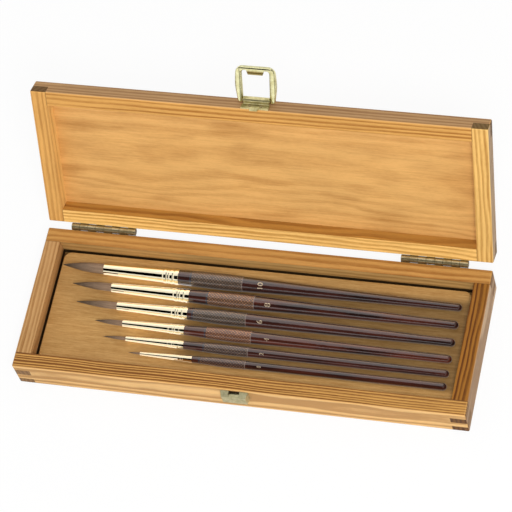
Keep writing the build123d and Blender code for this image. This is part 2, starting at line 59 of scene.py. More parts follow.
# %% Sizes, in millimetres
X, Y, Z = range(3)
HALF_LENGTH, HALF_DEPTH = 135.0, 46.5
SIDE, RAIL = 9.5, 9.2
BASE_TOP, LID_BOTTOM, LID_TOP = 21.0, 21.3, 32.3
HINGE_Y, HINGE_Z = 48.65, 21.15
LID_OPEN = math.radians(115)
BOARD_TOP, GROOVE_DEPTH = 12.2, 0.6
print("shut box in mm:", 2 * HALF_LENGTH, "x", 2 * HALF_DEPTH, "x", LID_TOP)

# %% [markdown]
# ## The brushes in numbers
#
# A brush is measured from the flat end of its handle, along its own axis. It lies at a slight
# tilt, because it rests on two places of different thickness: its grip and its handle's end.

# %% Brushes, in millimetres
Brush = namedtuple("Brush", "place hair ferrule handle mouth belly end grip_start grip_length")
BRUSHES = {
    10: Brush(24.0, 26.2, 46.3, 168.9, 6.5, 9.6, 4.5, 8.2, 30.7),
    8: Brush(12.5, 24.7, 48.0, 159.9, 5.2, 9.2, 4.8, 11.6, 27.7),
    6: Brush(1.2, 25.7, 43.4, 158.6, 4.7, 8.6, 4.8, 3.7, 31.6),
    4: Brush(-9.5, 17.4, 37.9, 158.4, 3.7, 8.0, 4.8, 13.4, 27.0),
    2: Brush(-18.6, 14.3, 35.5, 157.1, 2.6, 6.3, 4.4, 12.8, 26.0),
    0: Brush(-26.8, 7.4, 31.7, 150.4, 1.8, 5.3, 4.4, 5.0, 27.0),
}
HANDLE_END = 120.0
GRIP_REST = 0.6
CLEARANCE = 0.02


def lay_of(size):
    """A brush's tilt, and the height of its axis at the handle's end."""
    brush = BRUSHES[size]
    rest = brush.handle - brush.grip_start - brush.grip_length * GRIP_REST
    tilt = math.atan2((brush.belly - brush.end) / 2, rest)
    return tilt, BOARD_TOP + brush.end / 2 - GROOVE_DEPTH + CLEARANCE


print("tilts in degrees:", {size: round(math.degrees(lay_of(size)[0]), 2) for size in BRUSHES})

# %% [markdown]
# ## Shader sums written as Python
#
# A node tree is hard to read as a list of links. The small class below wraps one output
# socket, so that `1 - mask * 0.5` adds the Math nodes by itself. Every other kind of node
# comes from one method, `add`, which sets the node's options first and then its sockets.

# %% The socket wrapper
class Signal:
    """One output socket of a shader, with arithmetic."""

    def __init__(self, shader, socket):
        self.shader, self.socket = shader, socket

    def output(self, name):
        """Another output of the same node."""
        return Signal(self.shader, self.socket.node.outputs[name])

    def sum_with(self, operation, *others, clamp=False):
        settings = {"operation": operation, "use_clamp": clamp}
        return self.shader.add("ShaderNodeMath", settings, dict(enumerate((self, *others))))

    def __add__(self, other): return self.sum_with("ADD", other)
    def __radd__(self, other): return self.sum_with("ADD", other)
    def __sub__(self, other): return self.sum_with("SUBTRACT", other)
    def __rsub__(self, other): return (self * -1.0).sum_with("ADD", other)
    def __mul__(self, other): return self.sum_with("MULTIPLY", other)
    def __rmul__(self, other): return self.sum_with("MULTIPLY", other)
    def __pow__(self, other): return self.sum_with("POWER", other)
    def __abs__(self): return self.sum_with("ABSOLUTE")
    def fraction(self): return self.sum_with("FRACT")
    def larger(self, other): return self.sum_with("MAXIMUM", other)
    def smaller(self, other): return self.sum_with("MINIMUM", other)
    def clamp(self): return self.sum_with("ADD", 0.0, clamp=True)
    def cosine(self): return self.sum_with("COSINE")
    def angle_from(self, other): return self.sum_with("ARCTAN2", other)

    def ramp(self, low, high):
        """0 below low, 1 above high, with an even rise between them."""
        return ((self - low) * (1.0 / (high - low))).clamp()

    def window(self, rise_from, rise_to, fall_from, fall_to):
        """A rise from 0 to 1 between the first two values, and a fall between the last two."""
        return self.ramp(rise_from, rise_to) * (1.0 - self.ramp(fall_from, fall_to))

    def near(self, target, width):
        """1 at a value and 0 beyond a width on either side of it."""
        return (1.0 - abs(self - target) * (1.0 / width)).clamp()


print("sockets can be added, multiplied and compared")


# %% The node builder
class Shader:
    """The nodes of a material or of the world, built up signal by signal."""

    def __init__(self, owner):
        owner.use_nodes = True
        self.tree = owner.node_tree

    def add(self, kind, settings=None, values=None, out=0):
        node = self.tree.nodes.new(kind)
        for key, value in (settings or {}).items():
            setattr(node, key, value)
        for key, value in (values or {}).items():
            self.join(node.inputs[key], value)
        return Signal(self, node.outputs[out])

    def join(self, socket, value):
        """Links a signal to a socket, or sets the socket to a plain number or colour."""
        if isinstance(value, Signal):
            self.tree.links.new(value.socket, socket)
        elif socket.type == "RGBA":
            socket.default_value = (*value, 1.0)
        else:
            socket.default_value = value

    def mix(self, factor, first, second, blend="MIX"):
        """Two colours mixed by a factor."""
        settings = {"data_type": "RGBA", "blend_type": blend}
        return self.add("ShaderNodeMix", settings, {0: factor, 6: first, 7: second}, out=2)

    def vector(self, x, y, z):
        return self.add("ShaderNodeCombineXYZ", None, {0: x, 1: y, 2: z})

    def split(self, vector):
        """The x, y and z of a vector."""
        first = self.add("ShaderNodeSeparateXYZ", None, {0: vector})
        return [first.output(axis) for axis in (X, Y, Z)]

    def shaded(self, colour, amount):
        """A colour made lighter or darker all alike."""
        return self.mix(1.0, colour, self.vector(amount, amount, amount), "MULTIPLY")

    def noise(self, x, y, z, detail=2.0, rough=0.5):
        """Soft noise with one lump to a unit: the factors on x, y and z set its scale."""
        values = {"Vector": self.vector(x, y, z), "Scale": 1.0,
                  "Detail": detail, "Roughness": rough}
        return self.add("ShaderNodeTexNoise", None, values)

    def bump(self, height, strength, distance):
        values = {"Height": height, "Strength": strength, "Distance": distance}
        return self.add("ShaderNodeBump", None, values)


print("nodes come from one method")


# %% The finish builder
class Finish(Shader):
    """A material, with the sockets of its main shader at hand."""

    def __init__(self, name):
        self.material = bpy.data.materials.new(name)
        super().__init__(self.material)
        self.surface = self.tree.nodes["Principled BSDF"]

    def set(self, **sockets):
        for name, value in sockets.items():
            self.join(self.surface.inputs[name.replace("_", " ")], value)


def times(colour, *shares):
    """A colour multiplied by one share, or by a share for each of red, green and blue."""
    shares = shares if len(shares) == 3 else shares * 3
    return tuple(share * part for share, part in zip(shares, colour))


def dress(name, material):
    """Gives a solid its finish."""
    solid = nodes[name]
    solid.data.materials.clear()
    solid.data.materials.append(material)


print("finishes can be built and given to solids")

# %% [markdown]
# ## Where a point is on the timber
#
# Each solid keeps its place in its own vertices, so object coordinates are the part's own
# axes. A point on the lid is turned back about the hinge to the place that it has when the
# box is shut, so that one set of grain formulas serves both halves.

# %% Coordinates in millimetres
def place_of(finish, turned=0.0):
    """x, y and z of a point in millimetres, on the shut box."""
    back_y = HINGE_Y - (HINGE_Y * math.cos(turned) - HINGE_Z * math.sin(turned))
    back_z = HINGE_Z - (HINGE_Y * math.sin(turned) + HINGE_Z * math.cos(turned))
    point = finish.add("ShaderNodeTexCoord", out="Object")
    return finish.split(finish.add("ShaderNodeMapping", {"vector_type": "POINT"}, {
        "Vector": point, "Scale": (1000.0, 1000.0, 1000.0),
        "Rotation": (turned, 0.0, 0.0), "Location": (0.0, back_y, back_z)}))


def facing_of(finish, turned=0.0):
    """x, y and z of the way that the surface faces, on the shut box."""
    normal = finish.add("ShaderNodeTexCoord", out="Normal")
    return finish.split(finish.add("ShaderNodeMapping", {"vector_type": "VECTOR"}, {
        "Vector": normal, "Rotation": (turned, 0.0, 0.0)}))


def toward(facing, axis, sign):
    """1 on the faces that look along an axis, or against it where the sign is -1."""
    return (facing[axis] * sign).ramp(0.5, 0.85)


print("the lid is turned back", round(math.degrees(LID_OPEN)), "degrees")

# %% [markdown]
# ## Year rings
#
# A board is a slice out of a log. Seen that way its figure needs no tricks: measure how far
# a point is from the log's heart, wobble that a little, and mark where it falls between one
# year's ring and the next. Rings that stand on edge give straight stripes, and the same
# rings met at a flat angle give broad cathedral arches.

# %% Year rings
def year_rings(finish, length, a, b, heart, ring, wobble):
    """The years from the log's heart to a point, and 1 in each year's dark late wood."""
    slow = finish.noise(length * 0.011, a * 0.03, b * 0.03) - 0.5
    quick = finish.noise(length * 0.05 + 7.0, a * 0.16, b * 0.16) - 0.5
    from_a = a - heart[0] + slow * (9.0 * wobble) + quick * (1.3 * wobble)
    from_b = b - heart[1] + slow * (6.0 * wobble)
    years = ((from_a * from_a + from_b * from_b) ** 0.5) * (1.0 / ring)
    shift = finish.noise(years * 0.6, length * 0.004, 0.0, detail=1.0)
    return years, (years + shift * 1.1).fraction().window(0.3, 0.64, 0.86, 1.0)


print("year rings ready")

# %% [markdown]
# ## Dark lines where timbers meet
#
# The corners are finger joints: the ends of the sides and rails interlock, level by level.
# A thin dark line of glue and dust shows along each seam. It is worked out from which timber
# owns a level, so that the lines lie exactly where the solids meet.

# %% Joint lines
JOINT_LINE = (0.05, 0.022, 0.008)
SEAM_WIDTH, EDGE_WIDTH = 0.28, 0.25


def joint_lines(place, joints):
    """Lines round the fingers: the sides own the even levels, the rails the odd ones."""
    bottom, top, fingers = joints
    x, y, z = place
    step = (top - bottom) / fingers
    level = z.larger(bottom + 0.01).smaller(top - 0.01) - bottom
    rails_own = (level * (0.5 / step)).fraction().ramp(0.49, 0.51)
    past_side = (abs(x) - (HALF_LENGTH - SIDE)).ramp(-0.1, 0.1)
    past_rail = (abs(y) - (HALF_DEPTH - RAIL)).ramp(-0.1, 0.1)
    side_seam = abs(x).near(HALF_LENGTH - SIDE, SEAM_WIDTH) * past_rail * (1.0 - rails_own)
    rail_seam = abs(y).near(HALF_DEPTH - RAIL, SEAM_WIDTH) * past_side * rails_own
    edge = abs((level * (1.0 / step)).fraction() - 0.5).ramp(0.5 - EDGE_WIDTH / step, 0.5)
    inside = z.window(bottom + 0.8, bottom + 1.0, top - 1.0, top - 0.8)
    return side_seam.larger(rail_seam).larger(past_side * past_rail * edge * inside).clamp()


print("joint lines ready")

# %% [markdown]
# ## Painted shadow in two hollows
#
# Two hollows are so narrow that almost no light reaches them: the gap round the board, and
# the pocket behind the catch. The solids have both. Painted shadow, near black, on their
# walls makes them as deep in tone as the real ones.

# %% Painted shadow
PAINTED_SHADOW = (0.012, 0.006, 0.003)
SLOT_SHADOW_BAND = (8.0, 8.4, 11.8, 12.3)
POCKET_ACROSS, POCKET_UP = (-8.3, -7.9, 7.9, 8.3), (11.5, 12.0, 19.4, 19.9)


def stained(finish, colour, place, facing, slot, pocket):
    """slot is the axis and sign of the wall that the board's gap runs along."""
    if slot:
        # Painted shadow, near black, on the wall of the gap round the board.
        slot_shadow = place[Z].window(*SLOT_SHADOW_BAND) * toward(facing, *slot)
        colour = finish.mix(slot_shadow * 0.95, colour, PAINTED_SHADOW)
    if pocket:
        # Painted shadow, near black, in the pocket behind the catch.
        pocket_shadow = place[X].window(*POCKET_ACROSS) * place[Z].window(*POCKET_UP)
        colour = finish.mix(pocket_shadow * toward(facing, Y, -1) * 0.95, colour, PAINTED_SHADOW)
    return colour


print("stains ready")

# %% [markdown]
# ## Pine
#
# Between early and late wood the colour follows the rings, with fine fibres and short flecks
# over them. End grain drinks more stain, so faces across the grain are darker. Rounded edges
# get a painted pale highlight, and single faces can get a tone of their own that paints the
# light or shade that falls on them. The varnish is thin and nearly matt, so it reflects less
# than plain plastic would.

# %% One piece of stained pine
WOOD_GLOSS = 0.22
LATE_ON_LIT_FACE = (0.68, 0.58, 0.48)


def pine(name, along, heart, ring, early, late, turned=0.0, contrast=1.0, wobble=1.0,
         end=0.25, grain=0.45, patches=0.0, fade=None, faces=(), slot=None, pocket=False,
         joints=None):
    """A finish for one timber.

    along is the axis of the grain, and heart the log's centre on the other two axes. ring is
    the width of a year, early and late are its two colours, and end is how dark they are in
    end grain. fade weakens the rings along an axis, from low to high. faces are axis, sign
    and colour of single faces that get painted light or shade.
    """
    finish = Finish(name)
    place, facing = place_of(finish, turned), facing_of(finish, turned)
    length = place[along]
    a, b = (place[axis] for axis in (X, Y, Z) if axis != along)
    years, dark = year_rings(finish, length, a, b, heart, ring, wobble)
    strength = finish.noise(years * 0.37 + 3.0, length * 0.006, 4.0, detail=1.0).ramp(0.3, 0.68)
    if fade:
        axis, low, high, least = fade
        strength = strength * (1.0 - place[axis].ramp(low, high) * (1.0 - least))
    fibre = finish.noise(length * 0.05, a * 0.9, b * 0.9, 3.0, 0.65)
    fleck = finish.noise(length * 0.3 + 5.0, a * 1.3, b * 1.3, 2.0, 0.6)
    mask = dark * (strength * 0.8 + 0.3) * contrast
    mask = mask + (fibre - 0.42) * (2.0 * grain) + (fleck - 0.5) * grain
    if patches:
        soft = finish.noise(length * 0.02 + 2.0, a * 0.07, b * 0.07, 2.0, 0.6)
        mask = mask + soft.ramp(0.52, 0.74) * patches
    mask = mask.clamp()
    colour = finish.mix(mask, early, late)
    # Painted light and shade: each listed face gets a tone of its own, lighter or darker as
    # light falls on it.
    for axis, sign, face_light in faces:
        lit_face = finish.mix(mask, times(face_light, 1.12), times(face_light, *LATE_ON_LIT_FACE))
        colour = finish.mix(toward(facing, axis, sign), colour, lit_face)
    cloud = finish.noise(length * 0.03 + 11.0, a * 0.08, b * 0.08, 3.0)
    colour = finish.shaded(colour, 0.86 + cloud * 0.28)
    across = abs(facing[along]).ramp(0.55, 0.8)
    end_grain = finish.mix(dark * 0.5 + fibre * 0.5, times(early, end), times(late, end))
    colour = finish.mix(across, colour, end_grain)
    # Painted highlight: rounded edges are made paler, as if lit.
    nx, ny, nz = (abs(part) for part in facing)
    rounded = ((nx * ny + ny * nz + nx * nz) * 2.0).ramp(0.3, 0.9) * (1.0 - across)
    wear_and_highlight = tuple(min(1.0, 1.25 * part + 0.05) for part in early)
    colour = finish.mix(rounded * 0.4, colour, wear_and_highlight)
    # Painted shadow in the gap round the board and behind the catch.
    colour = stained(finish, colour, place, facing, slot, pocket)
    if joints:
        colour = finish.mix(joint_lines(place, joints) * 0.7, colour, JOINT_LINE)
    height = (1.0 - dark) * 0.35 + fibre
    finish.set(Base_Color=colour, Roughness=0.46 + fibre * 0.16, Specular_IOR_Level=WOOD_GLOSS,
               Normal=finish.bump(height, 0.25, 0.00012))
    return finish.material


print("pine ready")

# %% [markdown]
# ## The base's timbers
#
# On the real box each timber came from a different plank. The front rail shows strong brown
# stripes on top, which fade to the right. The right side is the darkest. The left side is
# softer, and the back rail is orange with wavy grain. Some faces get a painted tone for the
# light or shade on them: the front rail's front face is painted paler, and the right side's
# inner face darker still. The floor under the board hardly shows, so it gets a plain wide grain.

# %% Base timbers
BASE_JOINTS = (0.0, BASE_TOP, 4)
# The faces entries paint light and shade onto single faces.
dress("base_front_rail", pine(
    "base front pine", X, heart=(-72.0, 14.0), ring=1.6,
    early=(0.587, 0.307, 0.079), late=(0.186, 0.066, 0.012), contrast=1.9, wobble=0.35,
    end=0.6, fade=(X, -90.0, 110.0, 0.2), faces=[(Y, -1, (0.738, 0.455, 0.178))],
    pocket=True, joints=BASE_JOINTS))
dress("base_back_rail", pine(
    "base back pine", X, heart=(70.0, -10.0), ring=2.6,
    early=(0.550, 0.278, 0.074), late=(0.303, 0.120, 0.021), contrast=0.7, wobble=1.2,
    end=0.5, faces=[(Y, -1, (0.544, 0.329, 0.115))], slot=(Y, -1), joints=BASE_JOINTS))
dress("base_left_side", pine(
    "base left pine", Y, heart=(-175.0, 6.0), ring=2.4,
    early=(0.538, 0.303, 0.119), late=(0.296, 0.131, 0.034), contrast=0.8, wobble=0.7,
    end=0.59, slot=(X, 1), joints=BASE_JOINTS))
dress("base_right_side", pine(
    "base right pine", Y, heart=(185.0, 12.0), ring=2.65,
    early=(0.329, 0.132, 0.016), late=(0.104, 0.028, 0.002), contrast=1.2, wobble=1.0,
    end=0.6, faces=[(X, 1, (0.502, 0.338, 0.196)), (X, -1, (0.093, 0.047, 0.009))],
    joints=BASE_JOINTS))
dress("base_floor_panel", pine(
    "base floor pine", X, heart=(10.0, -60.0), ring=4.5,
    early=(0.6, 0.37, 0.16), late=(0.4, 0.2, 0.07), contrast=0.6))
print("five pieces of the base dressed")

# %% [markdown]
# ## The lid
#
# The lid's timbers are a lighter golden pine. Its panel is a wide flat-sawn board, so the
# rings meet its face at a low angle and draw soft arches, with darker patches among them.

# %% Lid timbers and panel
LID_JOINTS = (LID_BOTTOM, LID_TOP, 2)
# The faces entries paint light and shade onto single faces.
dress("lid_front_rail", pine(
    "lid front pine", X, heart=(-80.0, 60.0), ring=2.0, turned=LID_OPEN,
    early=(0.690, 0.357, 0.093), late=(0.380, 0.154, 0.026), contrast=1.0, wobble=0.5,
    faces=[(Y, -1, (0.447, 0.258, 0.111))], joints=LID_JOINTS))
dress("lid_back_rail", pine(
    "lid back pine", X, heart=(110.0, 55.0), ring=2.6, turned=LID_OPEN,
    early=(0.953, 0.572, 0.176), late=(0.524, 0.247, 0.050), contrast=0.8, wobble=0.8,
    faces=[(Y, -1, (0.475, 0.234, 0.049))], joints=LID_JOINTS))
dress("lid_left_side", pine(
    "lid left pine", Y, heart=(-190.0, 60.0), ring=2.6, turned=LID_OPEN,
    early=(0.733, 0.385, 0.105), late=(0.403, 0.166, 0.030), contrast=0.6, wobble=0.7,
    faces=[(X, 1, (0.856, 0.546, 0.184))], joints=LID_JOINTS))
dress("lid_right_side", pine(
    "lid right pine", Y, heart=(175.0, 50.0), ring=2.2, turned=LID_OPEN,
    early=(0.829, 0.497, 0.153), late=(0.456, 0.215, 0.043), contrast=0.9, wobble=0.7,
    faces=[(X, 1, (0.418, 0.276, 0.156))], joints=LID_JOINTS))
dress("lid_panel", pine(
    "lid panel pine", X, heart=(-6.0, 4.0), ring=4.2, turned=LID_OPEN,
    early=(0.758, 0.418, 0.135), late=(0.417, 0.180, 0.038), contrast=0.3, wobble=1.4,
    grain=0.4, patches=0.45))
print("five pieces of the lid dressed")

# %% [markdown]
# ## The board
#
# The board under the brushes is a brownish sheet with a fine, short grain and no strong
# rings. Painted shade makes it darker where the brushes lie on it, and it is paler along its
# front. Its rounded top edge gets a painted pale highlight.

# %% Board
BRUSH_SHADE_ACROSS, BRUSH_SHADE_FROM = (-30.0, -27.0, 27.0, 31.0), (-70.0, -30.0)
FRONT_STRIP = (-33.0, -30.5)


def board_wood():
    finish = Finish("board wood")
    x, y, z = place_of(finish)
    streak = finish.noise(x * 0.045, y * 0.9, z * 0.9, 4.0, 0.6)
    fine = finish.noise(x * 0.25, y * 1.4, z * 1.4, 3.0, 0.7)
    cloud = finish.noise(x * 0.02, y * 0.05, 3.0)
    mask = (streak.ramp(0.3, 0.7) * 0.6 + fine.ramp(0.3, 0.75) * 0.4).clamp()
    colour = finish.mix(mask, (0.588, 0.351, 0.127), (0.323, 0.152, 0.036))
    # Painted shade where the brushes lie; the front strip is made paler.
    brush_shade = y.window(*BRUSH_SHADE_ACROSS) * x.ramp(*BRUSH_SHADE_FROM)
    front = 1.0 - y.ramp(*FRONT_STRIP)
    colour = finish.shaded(colour, (0.84 + cloud * 0.32) * (1.0 - brush_shade * 0.5 + front * 0.18))
    # Painted highlight on the rounded top edge.
    slope = (1.0 - abs(facing_of(finish)[Z])).ramp(0.1, 0.4)
    edge = slope * z.ramp(BOARD_TOP - 1.0, BOARD_TOP - 0.4)
    colour = finish.mix(edge * 0.45, colour, (0.66, 0.42, 0.17))
    finish.set(Base_Color=colour, Roughness=0.5 + fine * 0.2, Specular_IOR_Level=WOOD_GLOSS,
               Normal=finish.bump(fine, 0.25, 0.0001))
    return finish.material


dress("insert_board", board_wood())
print("board dressed")

# %% [markdown]
# ## Brass fittings
#
# The hinges and the latch plate are thin brass-plated sheet. Handling leaves them dull in
# places, so the roughness changes gently over them, under darker stains. The hinges' barrels
# get painted shade: their plating darkens where it turns away from the top.

# %% Plated sheet
def plated(name, bright, dull, rough=0.3, barrel_shade=0.0):
    """The last argument is how much painted shade darkens the sheet where it turns away from the
    top.
    """
    finish = Finish(name)
    x, y, z = place_of(finish)
    patch = finish.noise(x * 0.22, y * 0.22, z * 0.22, 4.0, 0.6).ramp(0.35, 0.68)
    stain = finish.noise(x * 0.6 + 4.0, y * 0.6, z * 0.6, 3.0, 0.6).ramp(0.52, 0.72)
    scratch = finish.noise(x * 0.4, y * 6.0, z * 6.0, 2.0, 0.6)
    colour = finish.mix(patch * 0.9, bright, dull)
    colour = finish.mix(stain * 0.35, colour, times(dull, 0.35))
    if barrel_shade:
        # Painted shade: the barrel darkens everywhere but its lit top.
        facing = facing_of(finish)
        lit = facing[Z].ramp(0.55, 0.9) * facing[Y].near(-0.25, 0.75)
        colour = finish.mix((1.0 - lit) * barrel_shade, colour, times(dull, 0.3))
    finish.set(Base_Color=colour, Metallic=0.92, Roughness=rough + patch * 0.16 + scratch * 0.06,
               Normal=finish.bump(scratch, 0.12, 0.00006))
    return finish.material


screw_brass = plated("screw brass", (0.60, 0.48, 0.27), (0.34, 0.25, 0.12), rough=0.35)
print("plated sheet ready")

# %% [markdown]
# ## The bail
#
# The bail is a rounded bar with a flat tab, which has a painted dark reflection. Its solid
# has rounded edges, and a bump carries that curve on over the middle of each leg and of the
# top, so that each shows the bright line and dark sides of a bar. It is measured from the
# barrel that it swings on.

# %% Bail brass
BARREL_Y, BARREL_Z = 95.8, 106.6
LEG_MIDDLE, LEG_HALF_WIDTH = 10.3, 2.15
TOP_MIDDLE, TOP_HALF_WIDTH = 19.2, 2.1
TAB_REACH, TAB_ACROSS = (14.0, 14.5, 18.3, 18.9), (7.0, 7.4)


def bowed(distance, middle, half_width):
    """The height of a half-round section, 1 at its middle and 0 at its edges."""
    share = (distance - middle) * (1.0 / half_width)
    return (1.0 - share * share).larger(0.0) ** 0.5


def bail_brass():
    finish = Finish("bail brass")
    x, y, z = place_of(finish)
    dy, dz = y - BARREL_Y, z - BARREL_Z
    reach = (dy * dy + dz * dz) ** 0.5
    leg = bowed(abs(x), LEG_MIDDLE, LEG_HALF_WIDTH)
    top = bowed(reach, TOP_MIDDLE, TOP_HALF_WIDTH)
    patch = finish.noise(x * 0.3, y * 0.3, z * 0.3, 3.0, 0.6)
    colour = finish.mix(patch.ramp(0.4, 0.7), (0.93, 0.89, 0.52), (0.74, 0.68, 0.34))
    # Painted dark reflection on the flat tab.
    tab_reflection = reach.window(*TAB_REACH) * (1.0 - abs(x).ramp(*TAB_ACROSS))
    colour = finish.mix(tab_reflection * 0.85, colour, (0.33, 0.24, 0.08))
    finish.set(Base_Color=colour, Metallic=0.97, Roughness=0.14 + patch * 0.1,
               Normal=finish.bump((leg * 1.5).larger(top * 1.3), 0.9, 0.001))
    return finish.material


hinge_brass = plated("hinge brass", (0.80, 0.66, 0.38), (0.50, 0.38, 0.18), barrel_shade=0.75)
latch_brass = plated("latch brass", (0.88, 0.78, 0.42), (0.50, 0.43, 0.18), rough=0.24)
catch_brass = plated("catch brass", (0.60, 0.55, 0.33), (0.40, 0.36, 0.19), rough=0.32)
for side in ("left", "right"):
    for piece in ("base_leaf", "lid_leaf", "pin"):
        dress(f"hinge_{side}_{piece}", hinge_brass)
for name, material in (("base_hinge_screws", screw_brass), ("lid_hinge_screws", screw_brass),
                       ("latch_plate", latch_brass), ("latch_bail", bail_brass()),
                       ("latch_nails", screw_brass), ("latch_catch", catch_brass)):
    dress(name, material)
print("fittings dressed")

# %% [markdown]
# ## Ferrules
#
# The ferrules are drawn tubes with a pale gold plating, polished enough to mirror the light
# above them. Very fine draw marks run along them.

# %% Ferrule plating
def ferrule_plating():
    finish = Finish("ferrule plating")
    x, y, z = place_of(finish)
    draw = finish.noise(x * 0.06, y * 7.0, z * 7.0, 2.0, 0.6)
    blot = finish.noise(x * 0.15, y * 0.5, z * 0.5)
    colour = finish.mix(blot, (0.95, 0.87, 0.65), (0.91, 0.80, 0.55))
    finish.set(Base_Color=colour, Metallic=1.0, Roughness=0.03 + draw * 0.04,
               Normal=finish.bump(draw, 0.05, 0.00004))
    return finish.material


plating = ferrule_plating()
for size in BRUSHES:
    dress(f"brush_{size}_ferrule", plating)
print("ferrules dressed")

# %% [markdown]
# ## Handles
#
# A handle is birch under many coats of burgundy lacquer, with a grip that is printed in a
# coppery lattice of small dots. The pattern is worked out from how far along the brush a
# point is and how far round it, so it wraps the grip without any seam in view. Some noise in
# it keeps the dots as uneven as rubbed print.

# %% Lacquer and grip
DOT_PITCH = 1.85
EDGE = 0.15


def lacquer(size, dot, ground, warm):
    """warm is the share of red in the lacquer, which differs a little from brush to brush."""
    brush = BRUSHES[size]
    finish = Finish(f"lacquer {size}")
    x, y, z = place_of(finish)
    tilt, end_height = lay_of(size)
    run = HANDLE_END - x
    rise = z - (run * math.tan(tilt) + end_height)
    around = (y - brush.place).angle_from(rise)
    front = brush.handle - brush.grip_start
    back = front - brush.grip_length
    inside = run.window(back, back + EDGE, front - EDGE, front)
    lengthwise = run * (2 * math.pi / DOT_PITCH)
    roundwise = around * float(round(math.pi * brush.belly / DOT_PITCH))
    scatter = finish.noise(x * 0.9, y * 0.9, z * 0.9, 2.0, 0.7) - 0.5
    lattice = lengthwise.cosine() * roundwise.cosine() + scatter * 2.0
    dots = lattice.ramp(0.12, 0.6) * inside
    speck = finish.noise(x * 1.5, y * 1.5, z * 1.5, 3.0, 0.7)
    worn = finish.noise(x * 0.25, y * 0.6, z * 0.6 + size).ramp(0.3, 0.7)
    cloud = finish.noise(x * 0.03, y * 0.3, z * 0.3)
    clear = (0.034 + 0.08 * warm, 0.011 + 0.011 * warm, 0.009)
    base = finish.mix(cloud.ramp(0.35, 0.65), (0.016, 0.006, 0.005), clear)
    grip = finish.mix(speck, ground, times(ground, 0.4))
    colour = finish.mix(inside, base, grip)
    colour = finish.mix(dots * (0.55 + worn * 0.45), colour, dot)
    pale_ring = run.near(back - 0.1, 0.35)
    dark_ring = run.near(front + 0.6, 0.75)
    colour = finish.mix(pale_ring * 0.5, colour, (0.42, 0.33, 0.28))
    colour = finish.mix(dark_ring * 0.8, colour, (0.035, 0.045, 0.055))
    finish.set(Base_Color=colour, Roughness=0.14 + inside * 0.16 + speck * 0.04,
               Metallic=dots * 0.6, Normal=finish.bump(dots + speck * 0.1, 0.5, 0.00012),
               IOR=1.6, Coat_Weight=0.75, Coat_Roughness=0.14, Coat_IOR=1.6)
    return finish.material


TAN, COPPER = (0.33, 0.21, 0.135), (0.58, 0.27, 0.13)
# size: (dots, ground, warmth)
GRIPS = {
    10: (TAN, (0.07, 0.045, 0.032), 0.15),
    8: (COPPER, (0.11, 0.055, 0.03), 0.5),
    6: (TAN, (0.06, 0.045, 0.035), 0.35),
    4: (COPPER, (0.14, 0.055, 0.03), 0.9),
    2: (TAN, (0.06, 0.035, 0.03), 0.4),
    0: (TAN, (0.07, 0.035, 0.03), 0.5),
}
for size, colours in GRIPS.items():
    dress(f"brush_{size}_handle", lacquer(size, *colours))
print("handles dressed")

# %% [markdown]
# ## Hair
#
# The tuft of a round brush swells just past the ferrule and then draws to a point. Real
# ones have some thousands of hairs. Each tuft here is a closed core with the right outline,
# under a few hundred tapered hairs that keep their places from root to tip, so none cross.

# %% The outline of a tuft
ROOT_DEPTH = 0.6
FERRULE_WALL = 0.34
SWELL = ((0.0, 1.0), (0.12, 1.02), (0.3, 1.0), (0.5, 0.86), (0.7, 0.58), (0.87, 0.27),
         (1.0, 0.05))


def swell(share):
    """A tuft's radius at a share of its length, as a share of its radius at the root."""
    for (start, first), (stop, last) in zip(SWELL, SWELL[1:]):
        if share <= stop:
            blend = (share - start) / (stop - start)
            blend = blend * blend * (3 - 2 * blend) * 0.35 + blend * 0.65
            return first + (last - first) * blend
    return SWELL[-1][1]


def placer(size):
    """A function that puts a point of a tuft in the scene, in metres."""
    brush = BRUSHES[size]
    tilt, end_height = lay_of(size)
    start = brush.handle + brush.ferrule - ROOT_DEPTH

    def put(along, angle, radius, aside=0.0, up=0.0):
        run = start + along
        rise = radius * math.sin(angle) + up
        return ((HANDLE_END - run * math.cos(tilt) + rise * math.sin(tilt)) / 1000,
                (brush.place + radius * math.cos(angle) + aside) / 1000,
                (end_height + run * math.sin(tilt) + rise * math.cos(tilt)) / 1000)

    return put


print("half-way along, a tuft is", swell(0.5), "of its root's thickness")

# %% The core under the hairs
RINGS, ROUND = 14, 30
CORE_LENGTH = 0.97


def core(put, root, length, turn):
    """A closed form with shallow ridges. turn sets where the ridges stand."""
    points, faces = [], []
    for i in range(RINGS):
        share = i / (RINGS - 1) * CORE_LENGTH
        for j in range(ROUND):
            angle = 2 * math.pi * j / ROUND
            radius = root * swell(share) * (0.955 + 0.03 * math.sin(9 * angle + turn))
            points.append(put(share * length, angle, radius))
    for i in range(RINGS - 1):
        for j in range(ROUND):
            k = (j + 1) % ROUND
            low, high = i * ROUND, (i + 1) * ROUND
            faces.append((low + j, low + k, high + k, high + j))
    faces.append(tuple(range(ROUND))[::-1])
    faces.append(tuple((RINGS - 1) * ROUND + j for j in range(ROUND)))
    return points, faces


print("core of", RINGS, "rings")

# %% The hairs
STEPS = 7
STRAND_CORNERS = (0, 2.0944, 4.18879)
GOLDEN_ANGLE = math.pi * (3 - math.sqrt(5))


